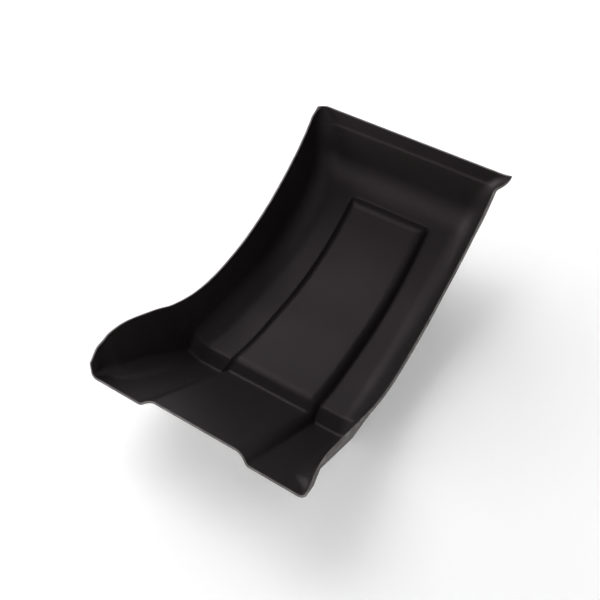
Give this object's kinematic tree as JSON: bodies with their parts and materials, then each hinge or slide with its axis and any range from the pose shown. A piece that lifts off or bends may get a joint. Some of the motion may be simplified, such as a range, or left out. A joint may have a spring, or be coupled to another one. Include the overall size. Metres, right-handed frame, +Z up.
{
  "type": "paint roller tray",
  "caption": "Scoop-shaped black plastic paint tray: open front lip, low step, long curved ramp with a raised panel, leaning side walls and a stepped band under the top edge.",
  "frame": {"origin": "under the middle of the tray's bounding box, level with the surface it stands on", "axes": "+X across the tray, +Y from the open front lip to the end wall, +Z up"},
  "size_m": [0.282, 0.472, 0.1687],
  "materials": {
    "black_plastic": "satin inner face, finely grained outer face, paler cut edge"
  },
  "bodies": {
    "root": {"tray_shell": "black_plastic"}
  },
  "joints": []
}
